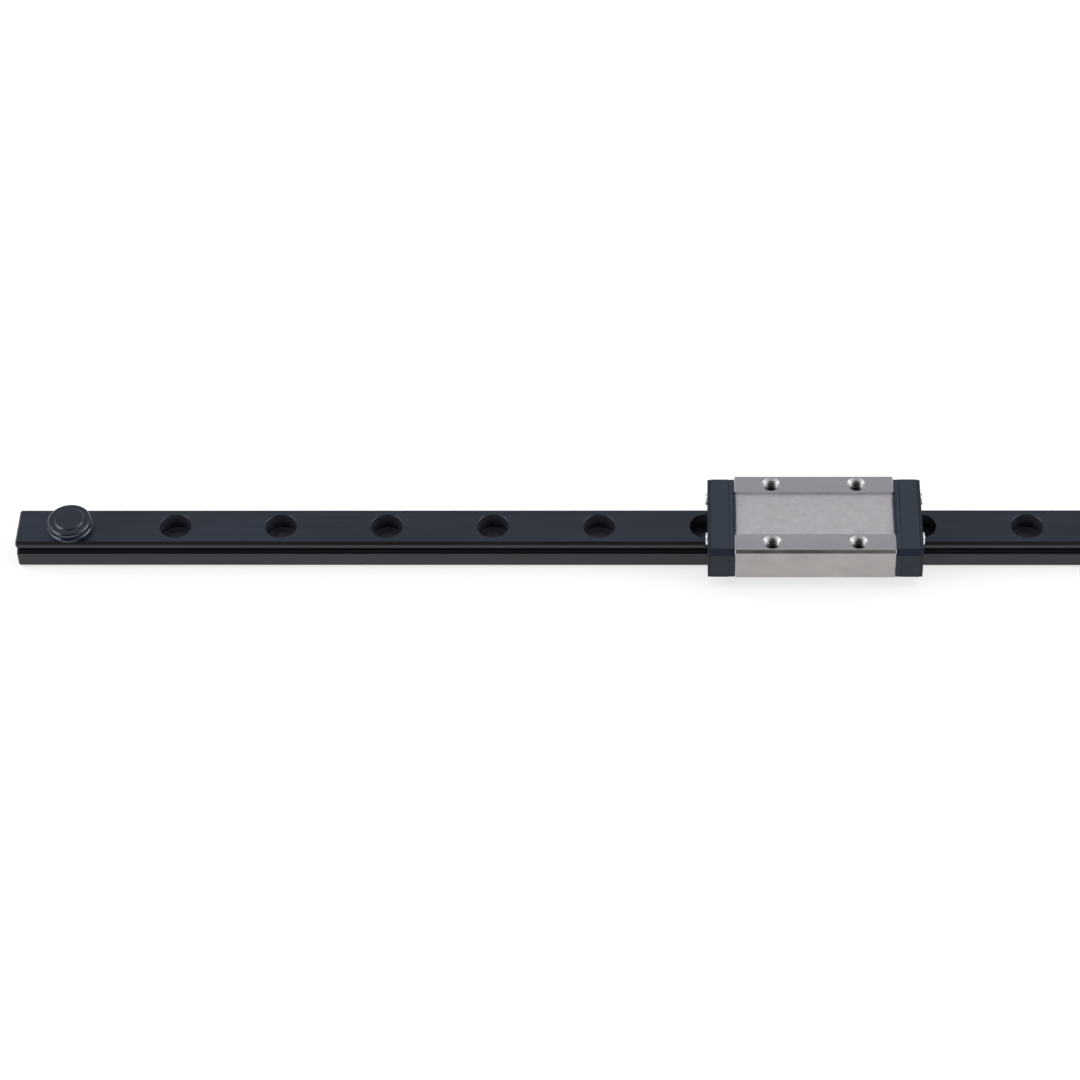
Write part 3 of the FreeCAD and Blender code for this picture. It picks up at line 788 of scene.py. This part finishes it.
def make_end_pieces(plastic, rubber):
    """At each end of the block, a plate with its lip, the cap and the wiper seal."""
    for name, end in ENDS:
        low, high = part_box(f"return_plate_{name}")
        inner, outer = (low.x, high.x)[::end]
        inner += LIP_LENGTH * end
        skin = Skin()
        slab(skin, end_outline(f"return_plate_{name}", CAP_GAP, PLATE_STEP), inner, outer,
             *PLATE_RIMS)
        make_lip(skin, inner, end, high.z - PLATE_STEP)
        skin.build(f"inner_plate_{name}", [plastic], "carriage", "cap_black_plastic",
                   f"return_plate_{name}")

        low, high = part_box(f"end_cap_{name}")
        skin = Skin()
        slab(skin, end_outline(f"end_cap_{name}", CAP_GAP, 0), *(low.x, high.x)[::end],
             *CAP_RIMS)
        skin.build(f"moulded_cap_{name}", [plastic], "carriage", "cap_black_plastic",
                   f"end_cap_{name}")

        low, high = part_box(f"end_seal_{name}")
        skin = Skin()
        slab(skin, end_outline(f"end_seal_{name}", SEAL_GAP, 0, seal_nib()),
             *(low.x, high.x)[::end], *SEAL_RIMS)
        skin.build(f"wiper_seal_{name}", [rubber], "carriage", "seal_rubber", f"end_seal_{name}")


def cross_recess(y, z):
    """The depth of a cross-shaped recess: the deeper of two bars at right angles. A bar is the
    product of its shares across and along, which fall from 1 to 0 over its sloping walls."""
    width, length, slope, depth = 0.17 * MM, 0.72 * MM, 0.1 * MM, 0.3 * MM
    bars = [np.clip((half_y - abs(y)) / slope, 0, 1) * np.clip((half_z - abs(z)) / slope, 0, 1)
            for half_y, half_z in ((width, length), (length, width))]
    return depth * np.maximum(*bars)


def make_cap_screw(finish, name, end, side_name):
    """A pan head with a domed top and a cross recess, and a plain shank: rings round the X axis."""
    node = f"cap_screw_{name}_{side_name}"
    low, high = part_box(node)
    y, z = (low.y + high.y) / 2, (low.z + high.z) / 2
    crown, tip = (high.x, low.x) if end == 1 else (low.x, high.x)
    angles = np.linspace(0, 2 * math.pi, SCREW_SEGMENTS, endpoint=False)
    spread = np.linspace(0, 1, DOME_STEPS + 1)
    top_radii = SCREW_HEAD_RADIUS * DOME_SHARE * spread
    top_drop = DOME_DROP * spread ** 2
    rim = np.linspace(0, math.pi / 2, ROUND_STEPS + 1)[1:]
    rim_radii = SCREW_HEAD_RADIUS * (DOME_SHARE + (1 - DOME_SHARE) * np.sin(rim))
    rim_drop = DOME_DROP + RIM_DROP * (1 - np.cos(rim))
    radii = np.concatenate([top_radii, rim_radii,
                            [SCREW_HEAD_RADIUS, SCREW_SHANK_RADIUS, SCREW_SHANK_RADIUS, 0]])
    drop = np.concatenate([top_drop, rim_drop, [SCREW_HEAD_HEIGHT] * 2, [abs(crown - tip)] * 2])
    dy, dz = radii[:, None] * np.cos(angles), radii[:, None] * np.sin(angles)
    recess = np.where(drop[:, None] < SCREW_HEAD_HEIGHT, cross_recess(dy, dz), 0)
    depth = drop[:, None] + recess
    rows = np.stack([crown - depth * end, y + dy, z + dz], axis=-1)
    skin = Skin()
    skin.grid(ring(rows))
    skin.build(f"pan_screw_{name}_{side_name}", [finish], "carriage", "screw_steel", node)


def make_balls(finish, side_name):
    """A row of spheres: circles of R cos a at heights R sin a, round each ball's own centre."""
    node = f"ball_row_{side_name}"
    low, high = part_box(node)
    centre = (np.array(low) + np.array(high)) / 2
    rise = np.linspace(-math.pi / 2, math.pi / 2, BALL_STEPS + 1)
    ball = turned(BALL_RADIUS * np.cos(rise), BALL_RADIUS * np.sin(rise), BALL_SEGMENTS)
    skin = Skin()
    for number in range(BALL_COUNT):
        offset = (number - (BALL_COUNT - 1) / 2) * BALL_PITCH
        skin.grid(ball + centre + [offset, 0, 0])
    skin.build(f"bearing_balls_{side_name}", [finish], "carriage", "ball_steel", node)


def make_stopper(finish, name):
    """A stepped knob turned round its own axis: plug, flange, neck, disc and boss, each with a
    chamfer round its upper rim and slightly rounded corners."""
    node = f"stopper_{name}"
    low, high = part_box(node)
    foot = RAIL_HIGH.z
    flange, neck, disc, boss, plug = (r * MM for r in (4.35, 3.8, 4.12, 2.88, 2.9))
    flange_top = foot + 0.65 * MM
    neck_top = flange_top + 0.4 * MM
    disc_top = neck_top + 0.75 * MM
    rim, draft, edge = 0.3 * MM, 0.1 * MM, 0.1 * MM
    profile = rounded([
        (0, low.z), (plug, low.z), (plug, foot),
        (flange, foot), (flange, flange_top - rim), (flange - rim, flange_top),
        (neck, flange_top), (neck, neck_top),
        (disc, neck_top), (disc, disc_top - rim), (disc - rim, disc_top),
        (boss + draft, disc_top), (boss, high.z - rim), (boss - rim, high.z), (0, high.z),
    ], [0, rim] + [edge] * 12 + [0])
    centre_x = (low.x + high.x) / 2
    skin = Skin()
    skin.grid(turned(profile[:, 0], profile[:, 1], KNOB_SEGMENTS) + [centre_x, 0, 0])
    skin.build(f"stopper_knob_{name}", [finish], "rail_body", "stopper_rubber", node)


make_rail(black_oxide(), black_oxide_side(), track_steel(), bore_steel())
make_block(ground_steel(), milled_steel(), side_steel(), cut_thread())
make_end_pieces(moulded_plastic(), seal_rubber())
screw_finish, ball_finish, knob_finish = plated_screw(), bearing_steel(), stopper_rubber()
for end_name, end in ENDS:
    make_stopper(knob_finish, end_name)
    for side_name in SIDES:
        make_cap_screw(screw_finish, end_name, end, side_name)
for side_name in SIDES:
    make_balls(ball_finish, side_name)


# Studio

CAMERA_PLACE = (-0.02398, -0.46882, 0.49386)
CAMERA_PITCH = 46.334
CAMERA_YAW = -2.30
CAMERA_FOCUS = 3600.0
PHOTO_WIDTH = 1080
SENSOR_WIDTH = 36
FAR_LIMIT = 20

FLOOR_HALF = 6.0
FLOOR_GREY = 0.45
FLOOR_GLOW = 0.68

# The room is dim up to the first angle from the camera's place and full from the second on. From
# the third angle above the horizon down to it, more light is added.
ROOM_COLOR = (0.97, 0.99, 1.0, 1)
DIM_ANGLE, DIM_STRENGTH = 14, 0.09
FULL_ANGLE, FULL_STRENGTH = 48, 0.46
HORIZON_ANGLE, HORIZON_STRENGTH = 18, 0.5

# Each lamp's name, place, width, height and watts
SOFTBOXES = (
    ("overhead_softbox", (0, 0.02, 1.0), 2.0, 0.9, 2.8),
    ("left_softbox", (-0.8, -0.06, 0.46), 0.9, 0.34, 3.2),
    ("right_softbox", (0.8, -0.06, 0.46), 0.9, 0.34, 3.2),
)


def make_camera():
    """The camera. Its focal length is in pixels of the photograph, and its pitch is downwards."""
    data = bpy.data.cameras.new("camera")
    data.sensor_width = SENSOR_WIDTH
    data.lens = CAMERA_FOCUS / PHOTO_WIDTH * data.sensor_width
    data.clip_end = FAR_LIMIT
    camera = bpy.data.objects.new("camera", data)
    bpy.context.scene.collection.objects.link(camera)
    camera.matrix_world = (Matrix.Translation(CAMERA_PLACE)
                           @ Matrix.Rotation(math.radians(90 - CAMERA_PITCH), 4, "X")
                           @ Matrix.Rotation(math.radians(-CAMERA_YAW), 4, "Y"))
    bpy.context.scene.camera = camera


def seen_plainly(nodes, links):
    """One where the eye, a polished surface or glass looks at it, and zero for all other light."""
    path = nodes.new("ShaderNodeLightPath")
    total = path.outputs["Is Camera Ray"]
    for name in ("Is Glossy Ray", "Is Transmission Ray"):
        add = nodes.new("ShaderNodeMath")
        add.operation = "MAXIMUM"
        links.new(total, add.inputs[0])
        links.new(path.outputs[name], add.inputs[1])
        total = add.outputs[0]
    return total


def make_floor():
    """A pale floor that keeps the shadow. Some light of its own makes it white to the eye."""
    material = bpy.data.materials.new("pale_floor")
    material.use_nodes = True
    nodes, links = material.node_tree.nodes, material.node_tree.links
    nodes.clear()
    paint = nodes.new("ShaderNodeBsdfDiffuse")
    paint.inputs["Color"].default_value = (FLOOR_GREY, FLOOR_GREY, FLOOR_GREY, 1)
    glow = nodes.new("ShaderNodeEmission")
    add = nodes.new("ShaderNodeAddShader")
    out = nodes.new("ShaderNodeOutputMaterial")
    strength = nodes.new("ShaderNodeMath")
    strength.operation = "MULTIPLY"
    strength.inputs[1].default_value = FLOOR_GLOW
    links.new(seen_plainly(nodes, links), strength.inputs[0])
    links.new(strength.outputs[0], glow.inputs["Strength"])
    links.new(paint.outputs[0], add.inputs[0])
    links.new(glow.outputs[0], add.inputs[1])
    links.new(add.outputs[0], out.inputs["Surface"])
    mesh = bpy.data.meshes.new("floor")
    corners = [(FLOOR_HALF * x, FLOOR_HALF * y, RAIL_LOW.z)
               for x, y in ((-1, -1), (1, -1), (1, 1), (-1, 1))]
    mesh.from_pydata(corners, [], [(0, 1, 2, 3)])
    mesh.materials.append(material)
    floor = bpy.data.objects.new("floor", mesh)
    bpy.context.scene.collection.objects.link(floor)


def softbox(name, place, width, height, watts):
    """A soft lamp that faces the middle of the part."""
    data = bpy.data.lights.new(name, "AREA")
    data.shape = "RECTANGLE"
    data.size, data.size_y = width, height
    data.energy = watts
    lamp = bpy.data.objects.new(name, data)
    turn = Vector(place).to_track_quat("Z", "Y").to_matrix().to_4x4()
    lamp.matrix_world = Matrix.Translation(place) @ turn
    lamp.visible_camera = False
    bpy.context.scene.collection.objects.link(lamp)


def make_studio():
    """A pale room, darker round the place of the camera and lighter near the horizon, with a wide
    soft lamp overhead and a narrow one at each side."""
    world = bpy.data.worlds.new("studio")
    bpy.context.scene.world = world
    world.use_nodes = True
    nodes, links = world.node_tree.nodes, world.node_tree.links
    room = nodes["Background"]
    room.inputs["Color"].default_value = ROOM_COLOR
    outward = nodes.new("ShaderNodeTexCoord").outputs["Generated"]
    toward = nodes.new("ShaderNodeVectorMath")
    toward.operation = "DOT_PRODUCT"
    toward.inputs[1].default_value = np.array(CAMERA_PLACE) / np.linalg.norm(CAMERA_PLACE)
    links.new(outward, toward.inputs[0])
    height = nodes.new("ShaderNodeSeparateXYZ")
    links.new(outward, height.inputs[0])
    dim, full, low = (math.radians(a) for a in (DIM_ANGLE, FULL_ANGLE, HORIZON_ANGLE))
    sockets = ("From Min", "From Max", "To Min", "To Max")
    parts = []
    for source, values in (
        (toward.outputs["Value"], (math.cos(full), math.cos(dim), FULL_STRENGTH, DIM_STRENGTH)),
        (height.outputs["Z"], (math.sin(low), 0.0, 0.0, HORIZON_STRENGTH)),
    ):
        slope = nodes.new("ShaderNodeMapRange")
        slope.interpolation_type = "SMOOTHSTEP"
        for socket, value in zip(sockets, values):
            slope.inputs[socket].default_value = value
        links.new(source, slope.inputs["Value"])
        parts.append(slope.outputs["Result"])
    total = nodes.new("ShaderNodeMath")
    links.new(parts[0], total.inputs[0])
    links.new(parts[1], total.inputs[1])
    links.new(total.outputs[0], room.inputs["Strength"])

    for lamp in SOFTBOXES:
        softbox(*lamp)


make_camera()
make_floor()
make_studio()
bpy.context.scene.view_settings.view_transform = "Standard"
